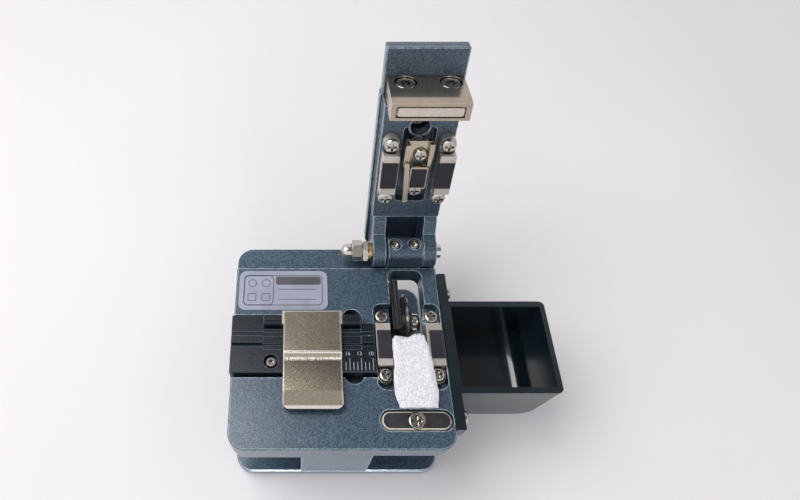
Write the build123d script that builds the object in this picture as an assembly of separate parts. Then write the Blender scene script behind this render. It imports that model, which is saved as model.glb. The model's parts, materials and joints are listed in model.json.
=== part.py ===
from build123d import *
import math
import os

# Optical-fibre cleaver with its lid open. Millimetres, +Z up, +Y towards the hinge at the back.
# The origin is the middle of the casting's footprint, on the surface that it stands on.
# The lid, its clamps and its anvil are drawn closed and then turned about the hinge pin.

# casting: two plates joined by a column
HALF_WIDTH = 28.1
FRONT = -28.0
BACK = 29.0
CORNER_R = 4.5
MAT_THICK = 0.9
BASE_TOP = 4.7
LEFT_CEILING = 23.1
BAY_CEILING = 25.5
DECK = 31.5
STEP_Y = 21.8
STEP_Z = 30.0
COLUMN_LEFT = -10.0
COLUMN_RIGHT = 8.0
EDGE = 0.35

# fibre line, and the faces that grip the fibre
FIBRE_Y = -1.5
PAD_TOP = 32.9
GRIP_GAP = 0.3

# hinge of the lid
HINGE_Y = 25.8
HINGE_Z = 34.4
OPEN_ANGLE = 104.8
PIN_R = 2.0
GRUB_X = (16.1, 21.4)
NUT_WIDTH = 5.5
RUNNING_GAP = 0.03
KNUCKLE = (14.2, 23.7)
LEFT_EAR = (10.0, 13.4)
RIGHT_EAR = (23.9, 27.4)
EAR_R = 4.35

# recesses in the deck
CHANNEL_FLOOR = 27.5
CHANNEL_Y = (-10.0, 7.5)
CHANNEL_STEP_X = 6.4
CHANNEL_STEP_Y = 4.65
CLAMP_FLOOR = 28.0
CLAMP_RECESS_X = (9.5, 27.5)
CLAMP_RECESS_Y = (-13.2, 10.7)
SLOT_X = (14.3, 23.8)
SLOT_Y = (-16.8, 21.2)
CATCH_X = (9.4, 27.6)
CATCH_Y = (-23.5, -18.2)
CATCH_FLOOR = 29.6
CATCH_TOP = 31.4
CATCH_CENTRE_X = sum(CATCH_X) / 2
CATCH_CENTRE_Y = sum(CATCH_Y) / 2

# clamps: a foot with a screw at each end, and a raised middle that holds the rubber
FOOT_THICK = 2.2
CLAMP_RISE = 2.55
CLAMP_SCREW_Y = (-9.1, 7.1)
CLAMP_RAISED_Y = (-7.2, 4.5)
RUBBER_Y = (-5.3, 2.45)
RUBBER_THICK = 1.0
RUBBER_PROUD = 0.15
LOWER_LEFT_X = (9.75, 13.65)
LOWER_RIGHT_X = (23.1, 27.3)
UPPER_LEFT_X = (10.0, 13.9)
UPPER_RIGHT_X = (23.8, 27.7)
LOWER_RUBBER_X = ((10.0, 13.65), (23.8, 27.3))
UPPER_RUBBER_X = ((9.9, 13.8), (23.7, 27.6))

# lid
LID_X = (8.9, 28.1)
LID_CORE_X = (9.6, 27.7)
LID_TAB_X = (9.3, 28.5)
LID_TOP = HINGE_Z + 12.0
LID_SKIN = HINGE_Z + 8.5
LID_UNDER = PAD_TOP + GRIP_GAP + RUBBER_PROUD + CLAMP_RISE + FOOT_THICK
LID_TIP_Y = HINGE_Y - 56.2
LID_FORK_Y = HINGE_Y - 9.8
LID_REAR_Y = HINGE_Y + 5.0
BLOCK_Y = (HINGE_Y - 49.2, HINGE_Y - 44.1)
BLOCK_LEAN = 0.45
BLOCK_X = (10.0, 28.1)
BLOCK_SCREW_X = (14.1, 24.6)
BLOCK_SCREW_Z = HINGE_Z + 5.8
MAGNET_FACE = DECK + 0.15
CATCH_MAGNET_X = (11.6, 26.5)
CATCH_MAGNET_Y = (BLOCK_Y[0] + 1.9, BLOCK_Y[0] + 4.1)
POCKET_X = 18.65
POCKET_Y = HINGE_Y - 38.5
POCKET_R = 2.4

# anvil that bends the fibre down between the clamps
ANVIL_BAY_X = (14.9, 22.9)
ANVIL_BAY_Y = (-12.6, 10.4)
ANVIL_ROOF = 41.0
ANVIL_SCREW_X = 19.2
ANVIL_SCREW_Y = (-6.4, 4.5)
ANVIL_PLATE_Z = (35.8, 36.6)
ANVIL_RUBBER_Z = (PAD_TOP + 0.2, PAD_TOP + 1.0)
FOLD_FRONT_Z = PAD_TOP + 0.9
FINGER_Z = (PAD_TOP + 0.3, PAD_TOP + 1.4)
FINGER_SKEW = 4.0
SHOULDER_R = 1.3

# blade carriage on its rail
RAIL_Z = 14.0
RAIL_X = (8.0, 11.4)
RAIL_Y = (-22.0, 24.0)
BLOCK_LENGTH = 17.0
CARRIAGE_TRAVEL = 14.5
BLADE_X = 18.8
BLADE_Y = 8.0
BLADE_Z = 24.85
BLADE_R = 8.0
BLADE_THICK = 1.0
PLATE_X = (14.0, 17.2)
UPRIGHT_X = (15.0, 17.1)
UPRIGHT_Y = (4.0, 18.8)
UPRIGHT_TOP = 30.5
PLATE_Z = (7.2, 19.5)
RAIL_SCREW_Y = (-17.0, 1.0, 19.0)
CARRIAGE_SCREWS = [(BLADE_Y + dy, RAIL_Z + dz) for dy in (-5.0, 5.0) for dz in (-4.2, 4.2)]
GRIP_SCREWS = [(-7.5, 10.0), (-7.5, 15.0)]
STOP_R = 1.0
STOP_Z = 18.6
STOP_CLEAR = 0.3
STOP_Y = (
    BLADE_Y - BLOCK_LENGTH / 2 - CARRIAGE_TRAVEL - STOP_CLEAR - STOP_R,
    BLADE_Y + BLOCK_LENGTH / 2 + STOP_CLEAR + STOP_R,
)
DETENT_X = 15.6
DETENT_Y = 21.0

# fibre adapter and its flap
ADAPTER_X = (-28.4, 9.25)
ADAPTER_Y = (-9.1, 6.8)
ADAPTER_STEP_GAP = 0.3
FLAP_AXIS_Y = 4.95
FLAP_AXIS_Z = 33.45
FLAP_X = (-14.6, 0.4)
FLAP_EAR_X = (-15.0, 0.8)
FLAP_THICK = 0.5
FLAP_PIN_R = 0.5
LEFT_KNUCKLE_X = (-19.8, -15.15)
RIGHT_KNUCKLE_X = (0.95, 5.6)
ADAPTER_SCREWS = [(-17.8, -6.2), (-3.0, -6.2)]
ADAPTER_SCREW_R = 0.9
FLAP_MAGNET = (-9.5, -6.2)

# scrap bin
BIN_X = (28.15, 56.4)
BIN_Y = (-14.1, 11.5)
BIN_FLOOR = 11.0
BIN_WALL = 1.3
BIN_BAR_X = 30.5
BIN_BAR_Y = (-23.2, 20.1)
BIN_BAR_Z = 26.4
BIN_SCREW_Y = (-19.5, 15.5)
BIN_SCREW_Z = 28.3


# ---------- shapes that repeat ----------

def block(x, y, z):
    """A box between two x, two y and two z values."""
    size = Box(x[1] - x[0], y[1] - y[0], z[1] - z[0])
    return Pos((x[0] + x[1]) / 2, (y[0] + y[1]) / 2, (z[0] + z[1]) / 2) * size


def rod_x(x, y, z, radius):
    length = x[1] - x[0]
    return Pos((x[0] + x[1]) / 2, y, z) * Rot(0, 90, 0) * Cylinder(radius, length)


def rod_y(x, y, z, radius):
    length = y[1] - y[0]
    return Pos(x, (y[0] + y[1]) / 2, z) * Rot(90, 0, 0) * Cylinder(radius, length)


def rod_z(x, y, z, radius):
    return Pos(x, y, (z[0] + z[1]) / 2) * Cylinder(radius, z[1] - z[0])


def slab(x, y, z, corner):
    """A plate with rounded upright corners."""
    outline = RectangleRounded(x[1] - x[0], y[1] - y[0], corner)
    face = Pos((x[0] + x[1]) / 2, (y[0] + y[1]) / 2, z[0]) * outline
    return extrude(face, z[1] - z[0])


def side_profile(points, x):
    """An outline in Y and Z, extruded from x[0] to x[1]."""
    outline = Plane.YZ * Polyline(*points, close=True)
    return Pos(x[0], 0, 0) * extrude(make_face(outline), x[1] - x[0], dir=(1, 0, 0))


def hex_x(x, y, z, across_flats):
    """A hexagonal bar along X."""
    radius = across_flats / math.sqrt(3)
    return Pos(x[0], y, z) * Rot(0, 90, 0) * extrude(RegularPolygon(radius, 6), x[1] - x[0])


def ends_chamfered(part, axis, amount):
    """Break the edges of the two faces that look along an axis."""
    faces = part.faces().sort_by(axis)
    return chamfer(faces[0].edges() + faces[-1].edges(), amount)


def cross_recess(width, depth, length):
    return Box(width, length, depth) + Box(length, width, depth)


def pan_screw(head_r, head_h, shank_r, shank_length):
    """A pan-head screw with a cross recess; its head sits on z = 0 and its shank points down."""
    head = Pos(0, 0, head_h / 2) * Cylinder(head_r, head_h)
    head = fillet(head.edges().group_by(Axis.Z)[-1], head_h * 0.55)
    shank = Pos(0, 0, -shank_length / 2) * Cylinder(shank_r, shank_length)
    recess = Pos(0, 0, head_h - 0.25) * cross_recess(head_r * 0.36, 0.8, head_r * 1.25)
    return head + shank - recess


def socket_screw(head_r, head_h, shank_r, shank_length, socket):
    """A cap screw with a hexagon socket, drawn like the pan-head screw."""
    head = Pos(0, 0, head_h / 2) * Cylinder(head_r, head_h)
    head = chamfer(head.edges().group_by(Axis.Z)[-1], 0.2)
    shank = Pos(0, 0, -shank_length / 2) * Cylinder(shank_r, shank_length)
    recess = Pos(0, 0, head_h * 0.4) * extrude(RegularPolygon(socket / math.sqrt(3), 6), head_h)
    return head + shank - recess


def group(solids):
    return Compound(children=list(solids))


def lid_pose(part):
    """Turn a piece that was drawn with the lid closed to where it is with the lid open."""
    return part.rotate(Axis((0, HINGE_Y, HINGE_Z), (1, 0, 0)), -OPEN_ANGLE)


def save(name, part):
    part.label = name
    export_step(part, f"parts/{name}.step")


# ---------- casting ----------

def casting_blank():
    outer_x = (-HALF_WIDTH, HALF_WIDTH)
    outer_y = (FRONT, BACK)
    base = slab(outer_x, outer_y, (MAT_THICK, BASE_TOP), CORNER_R)
    base = ends_chamfered(base, Axis.Z, EDGE)
    deck = slab(outer_x, outer_y, (LEFT_CEILING, DECK), CORNER_R)
    deck = ends_chamfered(deck, Axis.Z, EDGE)
    deck -= block((COLUMN_RIGHT, HALF_WIDTH + 1), (FRONT - 1, BACK + 1), (LEFT_CEILING - 1, BAY_CEILING))
    deck -= block(outer_x, (STEP_Y, BACK + 1), (STEP_Z, DECK + 1))
    column = block((COLUMN_LEFT, COLUMN_RIGHT), outer_y, (BASE_TOP - 0.1, BAY_CEILING + 0.1))
    return base + deck + column


def knuckle():
    """The fixed half of the hinge, with a rounded top."""
    shape = block(KNUCKLE, (22.1, BACK), (STEP_Z - 0.5, HINGE_Z + 3.9))
    top = shape.edges().filter_by(Axis.X).group_by(Axis.Z)[-1]
    return fillet(top, 2.3)


def deck_recesses():
    top = DECK + 1
    channel = block((-HALF_WIDTH - 1, CHANNEL_STEP_X), CHANNEL_Y, (CHANNEL_FLOOR, top))
    narrow_y = (CHANNEL_Y[0], CHANNEL_STEP_Y)
    narrow_end = block((CHANNEL_STEP_X - 1, CLAMP_RECESS_X[0] + 0.5), narrow_y, (CHANNEL_FLOOR, top))
    rear_notch = rod_z(3.65, 6.55, (CHANNEL_FLOOR, top), 2.55)
    front_notch = rod_z(3.65, -9.2, (CHANNEL_FLOOR, top), 2.55)
    clamps = slab(CLAMP_RECESS_X, CLAMP_RECESS_Y, (CLAMP_FLOOR, top), 2.2)
    slot = slab(SLOT_X, SLOT_Y, (LEFT_CEILING - 1, top), 2.2)
    catch = slab(CATCH_X, CATCH_Y, (CATCH_FLOOR, top), (CATCH_Y[1] - CATCH_Y[0]) / 2 - 0.01)
    return [channel, narrow_end, rear_notch, front_notch, clamps, slot, catch]


def casting_holes():
    holes = [rod_x((KNUCKLE[0] - 1, KNUCKLE[1] + 1), HINGE_Y, HINGE_Z, PIN_R)]
    for x in GRUB_X:
        holes.append(rod_z(x, HINGE_Y, (HINGE_Z, HINGE_Z + 5), 1.5))
        holes.append(rod_z(x, HINGE_Y, (HINGE_Z + 3.0, HINGE_Z + 5), 1.8))
    for x, y in ADAPTER_SCREWS:
        holes.append(rod_z(x, y, (CHANNEL_FLOOR - 4.0, CHANNEL_FLOOR + 1), ADAPTER_SCREW_R))
    for x in (LOWER_LEFT_X, LOWER_RIGHT_X):
        for y in CLAMP_SCREW_Y:
            holes.append(rod_z((x[0] + x[1]) / 2, y, (CLAMP_FLOOR - 2.0, CLAMP_FLOOR + 1), 1.0))
    holes.append(rod_z(CATCH_CENTRE_X, CATCH_CENTRE_Y, (CATCH_FLOOR - 3.0, CATCH_FLOOR + 1), 1.25))
    for y in BIN_SCREW_Y:
        holes.append(rod_x((HALF_WIDTH - 3.5, HALF_WIDTH + 1), y, BIN_SCREW_Z, 1.0))
    for y in RAIL_SCREW_Y:
        holes.append(rod_x((COLUMN_RIGHT - 5.0, COLUMN_RIGHT + 1), y, RAIL_Z, 1.0))
    for y in STOP_Y:
        holes.append(rod_x((COLUMN_RIGHT - 3.0, COLUMN_RIGHT + 1), y, STOP_Z, STOP_R))
    holes.append(rod_z(DETENT_X, DETENT_Y, (MAT_THICK, BASE_TOP + 1), 1.5))
    return holes


def body_casting():
    shape = casting_blank() + knuckle()
    for recess in deck_recesses():
        shape -= recess
    for hole in casting_holes():
        shape -= hole
    return shape


def base_mat():
    return slab((-26.0, 26.0), (-26.0, 27.0), (0, MAT_THICK), 4.0)


def rating_plate():
    plate = slab((-27.2, -2.7), (8.9, 20.9), (DECK, DECK + 0.15), 2.0)
    return plate


# ---------- fibre adapter ----------

def adapter_plate():
    shape = block(ADAPTER_X, ADAPTER_Y, (CHANNEL_FLOOR, PAD_TOP))
    top_edges = shape.edges().filter_by(Axis.X).group_by(Axis.Z)[-1]
    shape = chamfer(top_edges, 0.3)
    pocket_x = (LEFT_KNUCKLE_X[0] - 0.2, RIGHT_KNUCKLE_X[1] + 0.2)
    shape -= block(pocket_x, (2.9, ADAPTER_Y[1] + 1), (30.6, PAD_TOP + 1))
    shape -= block(pocket_x, (-2.9, 3.0), (PAD_TOP - 0.45, PAD_TOP + 1))
    shape -= block((ADAPTER_X[0] - 1, ADAPTER_X[1] + 1), (0.9, 2.0), (PAD_TOP - 0.5, PAD_TOP + 1))
    step = (CHANNEL_STEP_X - ADAPTER_STEP_GAP, CHANNEL_STEP_Y - ADAPTER_STEP_GAP)
    beside_step_y = (step[1], ADAPTER_Y[1] + 1)
    shape -= block((step[0], ADAPTER_X[1] + 1), beside_step_y, (CHANNEL_FLOOR - 1, PAD_TOP + 1))
    for knuckle_x in (LEFT_KNUCKLE_X, RIGHT_KNUCKLE_X):
        half = 1.55
        foot = block(knuckle_x, (FLAP_AXIS_Y - half, FLAP_AXIS_Y + half), (30.5, FLAP_AXIS_Z))
        shape += foot + rod_x(knuckle_x, FLAP_AXIS_Y, FLAP_AXIS_Z, half)
    groove = [(FIBRE_Y - 0.6, PAD_TOP + 0.1), (FIBRE_Y, PAD_TOP - 0.8), (FIBRE_Y + 0.6, PAD_TOP + 0.1)]
    shape -= side_profile(groove, (ADAPTER_X[0] - 1, ADAPTER_X[1] + 1))
    shape -= rod_x((LEFT_KNUCKLE_X[0] + 0.6, RIGHT_KNUCKLE_X[1] + 1), FLAP_AXIS_Y, FLAP_AXIS_Z, FLAP_PIN_R)
    for x, y in ADAPTER_SCREWS:
        shape -= rod_z(x, y, (CHANNEL_FLOOR - 1, PAD_TOP + 1), ADAPTER_SCREW_R + 0.1)
        shape -= rod_z(x, y, (PAD_TOP - 2.0, PAD_TOP + 1), 1.95)
    shape -= rod_z(FLAP_MAGNET[0], FLAP_MAGNET[1], (PAD_TOP - 1.5, PAD_TOP + 1), 2.0)
    return shape


def adapter_screws():
    screw = socket_screw(1.35, 1.6, ADAPTER_SCREW_R, 7.2, 1.3)
    return group(Pos(x, y, PAD_TOP - 2.0) * screw for x, y in ADAPTER_SCREWS)


def flap_hinge_pin():
    return rod_x((LEFT_KNUCKLE_X[0] + 0.7, RIGHT_KNUCKLE_X[1] - 0.1), FLAP_AXIS_Y, FLAP_AXIS_Z, FLAP_PIN_R)


def flap():
    """Sheet-metal flap: flat panel, a joggle down to the lower panel, and a raised finger lip."""
    top_line = [(7.3, 34.6), (-4.2, 34.6), (-5.9, 33.5), (-14.0, 33.5), (-18.8, 34.5)]
    under_line = [(y, z - FLAP_THICK) for y, z in reversed(top_line)]
    sheet = side_profile(top_line + under_line, FLAP_X)
    ends = (top_line[-1][0] + 1, top_line[0][0] - 1)
    bends = sheet.edges().filter_by(Axis.X).filter_by(lambda edge: ends[0] < edge.center().Y < ends[1])
    sheet = fillet(bends, 0.4)
    sheet = fillet(sheet.edges().filter_by(Axis.Z).group_by(Axis.Y)[0], 1.7)
    for ear_x in ((FLAP_EAR_X[0], FLAP_X[0] + 0.1), (FLAP_X[1] - 0.1, FLAP_EAR_X[1])):
        ear = block(ear_x, (3.5, 7.3), (32.95, 34.6))
        sheet += ear - rod_x(ear_x, FLAP_AXIS_Y, FLAP_AXIS_Z, FLAP_PIN_R + RUNNING_GAP)
    return sheet


def flap_rubber():
    return block((-12.0, -2.0), (-3.4, 0.4), (PAD_TOP + 0.25, 34.6 - FLAP_THICK))


# ---------- clamps ----------

def clamp_block(x):
    """A lower clamp, standing on z = 0 with its foot; the rubber's pocket is open to the right."""
    middle = (x[0] + x[1]) / 2
    radius = (x[1] - x[0]) / 2
    foot = slab(x, (CLAMP_SCREW_Y[0] - radius, CLAMP_SCREW_Y[1] + radius), (0, FOOT_THICK), radius - 0.01)
    raised = block(x, CLAMP_RAISED_Y, (FOOT_THICK - 0.1, FOOT_THICK + CLAMP_RISE))
    shape = foot + raised
    for y in CLAMP_SCREW_Y:
        shape -= rod_z(middle, y, (-1, FOOT_THICK + 1), 1.0)
    return shape


def clamp_rubber_space(x):
    top = FOOT_THICK + CLAMP_RISE + RUBBER_PROUD
    return block(x, RUBBER_Y, (top - RUBBER_THICK, top))


def lower(part):
    return Pos(0, 0, CLAMP_FLOOR) * part


def upper(part):
    """The same clamp turned over and hung from the lid's underside."""
    return lid_pose(Pos(0, 0, LID_UNDER) * mirror(part, Plane.XY))


def clamp_screws(place, spans, z):
    screw = pan_screw(1.85, 1.35, 1.0, 3.9)
    solids = []
    for x in spans:
        for y in CLAMP_SCREW_Y:
            solids.append(place(Pos((x[0] + x[1]) / 2, y, z) * screw))
    return group(solids)


# ---------- lid ----------

def lid_ear(x):
    """One hinge ear. Its rear face meets the casting's back when the lid is fully open."""
    slope = math.tan(math.radians(OPEN_ANGLE - 90))
    stop_gap = (BACK - HINGE_Y + 0.12) / math.cos(math.radians(OPEN_ANGLE - 90))
    stop = [(HINGE_Y + s, HINGE_Z + stop_gap + slope * s) for s in (1.95, LID_REAR_Y - HINGE_Y)]
    outline = [
        (LID_FORK_Y - 0.1, LID_UNDER),
        (LID_FORK_Y + 1.1, LID_UNDER - 1.1),
        (HINGE_Y - 5.0, HINGE_Z + 1.6),
        (HINGE_Y - 4.2, HINGE_Z - 1.0),
        (HINGE_Y, HINGE_Z - 1.0),
        (HINGE_Y, HINGE_Z + 3.0),
        stop[0],
        stop[1],
        (LID_REAR_Y, LID_SKIN + 0.1),
        (LID_FORK_Y - 0.1, LID_SKIN + 0.1),
    ]
    return side_profile(outline, x) + rod_x(x, HINGE_Y, HINGE_Z, EAR_R)


def lid_skin():
    """The lid's outer wall, with rounded long edges and a thinner tab to lift it by."""
    wall = block(LID_X, (BLOCK_Y[1] - 0.2, LID_REAR_Y), (LID_SKIN, LID_TOP))
    wall = fillet(wall.edges().filter_by(Axis.Y).group_by(Axis.Z)[-1], 1.0)
    rear = wall.edges().filter_by(Axis.X).group_by(Axis.Y)[-1].sort_by(Axis.Z)[-1]
    wall = fillet(rear, 2.4)
    tab = block(LID_TAB_X, (LID_TIP_Y, BLOCK_Y[1]), (LID_SKIN, LID_TOP - 0.5))
    tab = fillet(tab.edges().filter_by(Axis.Z).group_by(Axis.Y)[0], 0.4)
    tab = chamfer(tab.faces().sort_by(Axis.Y)[0].edges().filter_by(Axis.X), 0.25)
    return wall + tab


def lid_arm():
    core = block(LID_CORE_X, (BLOCK_Y[1], LID_FORK_Y), (LID_UNDER, LID_SKIN + 0.1))
    shape = lid_skin() + core + lid_ear(LEFT_EAR) + lid_ear(RIGHT_EAR)
    shape -= rod_x((LID_X[0] - 1, LID_X[1] + 1), HINGE_Y, HINGE_Z, PIN_R + RUNNING_GAP)
    shape -= slab(ANVIL_BAY_X, ANVIL_BAY_Y, (LID_UNDER - 1, ANVIL_ROOF), 1.0)
    shape += rod_z(POCKET_X, POCKET_Y, (LID_UNDER, LID_SKIN), POCKET_R + 0.4)
    shape -= rod_z(POCKET_X, POCKET_Y, (LID_UNDER - 1, LID_SKIN), POCKET_R)
    shape -= rod_z(POCKET_X, POCKET_Y, (LID_SKIN - 1, LID_SKIN + 2.5), 1.0)
    for y in ANVIL_SCREW_Y:
        shape -= rod_z(ANVIL_SCREW_X, y, (ANVIL_ROOF - 1, ANVIL_ROOF + 3.4), 1.0)
    for x in (UPPER_LEFT_X, UPPER_RIGHT_X):
        for y in CLAMP_SCREW_Y:
            shape -= rod_z((x[0] + x[1]) / 2, y, (LID_UNDER - 1, LID_UNDER + 1.8), 1.0)
    for x in BLOCK_SCREW_X:
        shape -= rod_y(x, (BLOCK_Y[1] - 1, BLOCK_Y[1] + 6.0), BLOCK_SCREW_Z, 1.5)
    return lid_pose(shape)


def magnet_block():
    front = BLOCK_Y[0] + BLOCK_LEAN
    outline = [
        (BLOCK_Y[1], MAGNET_FACE),
        (front + 0.3, MAGNET_FACE),
        (front, MAGNET_FACE + 2.2),
        (BLOCK_Y[0], LID_SKIN - 0.05),
        (BLOCK_Y[1], LID_SKIN - 0.05),
    ]
    shape = side_profile(outline, BLOCK_X)
    shape -= catch_magnet_space()
    tray_x = (CATCH_MAGNET_X[0] - 0.55, CATCH_MAGNET_X[1] + 0.35)
    tray_y = (CATCH_MAGNET_Y[0] - 0.35, CATCH_MAGNET_Y[1] + 0.35)
    shape -= slab(tray_x, tray_y, (MAGNET_FACE - 1, MAGNET_FACE + 0.6), 0.3)
    for x in BLOCK_SCREW_X:
        shape -= rod_y(x, (BLOCK_Y[0] - 1, BLOCK_Y[1] + 1), BLOCK_SCREW_Z, 1.5)
        shape -= rod_y(x, (BLOCK_Y[0] - 1, BLOCK_Y[0] + 3.0), BLOCK_SCREW_Z, 2.65)
    return lid_pose(shape)


def catch_magnet_space():
    return slab(CATCH_MAGNET_X, CATCH_MAGNET_Y, (MAGNET_FACE - 0.02, MAGNET_FACE + 2.0), 0.6)


def catch_magnet():
    return lid_pose(slab(CATCH_MAGNET_X, CATCH_MAGNET_Y, (MAGNET_FACE + 0.1, MAGNET_FACE + 2.0), 0.6))


def magnet_block_screws():
    screw = Rot(90, 0, 0) * socket_screw(2.45, 2.6, 1.5, 7.2, 2.5)
    seat = BLOCK_Y[0] + 3.0
    return group(lid_pose(Pos(x, seat, BLOCK_SCREW_Z) * screw) for x in BLOCK_SCREW_X)


def lid_pocket_screw():
    screw = Rot(180, 0, 0) * pan_screw(2.1, 1.3, 1.0, 2.5)
    return lid_pose(Pos(POCKET_X, POCKET_Y, LID_SKIN) * screw)


# ---------- anvil ----------

def anvil_bracket():
    """A sprung bracket on two shoulder screws: a plate with folded sides, a tray and a trip finger."""
    front = FOLD_FRONT_Z
    plate = slab((15.1, 22.2), (-10.1, -3.4), ANVIL_PLATE_Z, 0.8)
    tongue = slab((17.5, 20.9), (-6.0, 6.4), ANVIL_PLATE_Z, 1.65)
    tray = slab((16.95, 21.3), (-4.0, 2.6), (PAD_TOP + 0.5, ANVIL_PLATE_Z[1]), 0.5)
    left_fold = slab((15.1, 16.4), (-10.1, -3.7), (front, ANVIL_PLATE_Z[1]), 0.6)
    right_corners = [(21.1, -9.9), (22.2, -9.9), (22.2, -6.4), (21.7, -3.6), (21.1, -3.6)]
    right_outline = make_face(Polyline(*right_corners, close=True))
    right_fold = extrude(Pos(0, 0, front + 0.6) * right_outline, ANVIL_PLATE_Z[1] - front - 0.6)
    finger = slab((-0.58, 0.58), (-11.9, 0.35), FINGER_Z, 0.55)
    finger = Pos(16.7, 6.6, 0) * Rot(0, 0, -FINGER_SKEW) * finger
    shape = plate + tongue + tray + left_fold + right_fold + finger
    shape -= anvil_rubber_space()
    for y in ANVIL_SCREW_Y:
        shape -= rod_z(ANVIL_SCREW_X, y, (30, 40), SHOULDER_R + RUNNING_GAP)
    return lid_pose(shape)


def anvil_rubber_space():
    return block((17.3, 21.0), (-3.3, 2.0), ANVIL_RUBBER_Z)


def anvil_shoulder_screws():
    head_h = 1.1
    shoulder = ANVIL_ROOF - ANVIL_PLATE_Z[0]
    solids = []
    for y in ANVIL_SCREW_Y:
        screw = Rot(180, 0, 0) * pan_screw(1.7, head_h, SHOULDER_R, shoulder)
        screw += Pos(0, 0, shoulder + 1.5) * Cylinder(1.0, 3.2)
        solids.append(lid_pose(Pos(ANVIL_SCREW_X, y, ANVIL_PLATE_Z[0]) * screw))
    return group(solids)


def coil_spring(coil_r, wire_r, length, turns):
    """A compression spring standing on z = 0."""
    rise = length - 2 * wire_r
    path = Helix(rise / turns, rise, coil_r)
    start = Plane(origin=path @ 0, z_dir=path % 0)
    coil = sweep(start * Circle(wire_r), path, is_frenet=True)
    return Pos(0, 0, wire_r) * coil


def anvil_springs():
    length = ANVIL_ROOF - ANVIL_PLATE_Z[1] - 0.1
    spring = coil_spring(1.85, 0.2, length, 4)
    return group(lid_pose(Pos(ANVIL_SCREW_X, y, ANVIL_PLATE_Z[1] + 0.05) * spring) for y in ANVIL_SCREW_Y)


# ---------- hinge hardware ----------

def hinge_pin():
    journal = rod_x((8.8, 29.1), HINGE_Y, HINGE_Z, PIN_R)
    thread = rod_x((3.4, 8.9), HINGE_Y, HINGE_Z, 1.5)
    slot = block((28.6, 30.0), (HINGE_Y - 3, HINGE_Y + 3), (HINGE_Z - 0.3, HINGE_Z + 0.3))
    return journal + thread - slot


def nut_blank(x, turn):
    """A hexagon with its corners broken at both ends, turned about the pin."""
    corner = NUT_WIDTH / math.sqrt(3)
    hexagon = hex_x(x, 0, 0, NUT_WIDTH) & ends_chamfered(rod_x(x, 0, 0, corner), Axis.X, 0.35)
    return Pos(0, HINGE_Y, HINGE_Z) * Rot(turn, 0, 0) * hexagon


def acorn_nut():
    hexagon = nut_blank((4.3, 7.1), 0)
    dome = rod_x((1.2, 4.4), HINGE_Y, HINGE_Z, 2.1)
    dome = fillet(dome.edges().group_by(Axis.X)[0], 1.9)
    return hexagon + dome - rod_x((3.4, 8.0), HINGE_Y, HINGE_Z, 1.5)


def jam_nut():
    return nut_blank((7.25, 8.75), 30) - rod_x((7, 9), HINGE_Y, HINGE_Z, 1.5)


def sleeve(x, outer, inner):
    return rod_x(x, HINGE_Y, HINGE_Z, outer) - rod_x((x[0] - 1, x[1] + 1), HINGE_Y, HINGE_Z, inner)


def hinge_grub_screws():
    solids = []
    for x in GRUB_X:
        screw = rod_z(x, HINGE_Y, (HINGE_Z + PIN_R + 0.02, HINGE_Z + 3.7), 1.48)
        screw = chamfer(screw.edges().group_by(Axis.Z)[-1], 0.4)
        socket = Pos(x, HINGE_Y, HINGE_Z + 2.7) * extrude(RegularPolygon(0.85, 6), 2.0)
        solids.append(screw - socket)
    return group(solids)


# ---------- blade carriage ----------

def guide_rail():
    half = 2.5
    bar = block(RAIL_X, RAIL_Y, (RAIL_Z - half, RAIL_Z + half))
    for side in (-1, 1):
        bar -= rod_y(9.9, (RAIL_Y[0] - 1, RAIL_Y[1] + 1), RAIL_Z + side * (half + 0.25), 0.6)
    for y in RAIL_SCREW_Y:
        bar -= rod_x((RAIL_X[0] - 1, RAIL_X[1] + 1), y, RAIL_Z, 1.0)
        bar -= rod_x((RAIL_X[1] - 1.5, RAIL_X[1] + 1), y, RAIL_Z, 1.75)
    return bar


def rail_screws():
    screw = Rot(0, 90, 0) * socket_screw(1.7, 1.2, 1.0, 6.5, 1.3)
    return group(Pos(RAIL_X[1] - 1.5, y, RAIL_Z) * screw for y in RAIL_SCREW_Y)


def travel_stop_pins():
    return group(rod_x((COLUMN_RIGHT - 3.0, 12.5), y, STOP_Z, STOP_R) for y in STOP_Y)


def slider_block():
    gap = 0.05
    y = (BLADE_Y - BLOCK_LENGTH / 2, BLADE_Y + BLOCK_LENGTH / 2)
    shape = block((8.8, PLATE_X[0]), y, (RAIL_Z - 6, RAIL_Z + 6))
    shape = ends_chamfered(shape, Axis.Y, 0.4)
    channel_z = (RAIL_Z - 2.5 - gap, RAIL_Z + 2.5 + gap)
    shape -= block((8, RAIL_X[1] + gap), (y[0] - 1, y[1] + 1), channel_z)
    for hole_y, hole_z in CARRIAGE_SCREWS:
        shape -= rod_x((11.8, PLATE_X[0] + 1), hole_y, hole_z, 1.0)
    return shape


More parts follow.
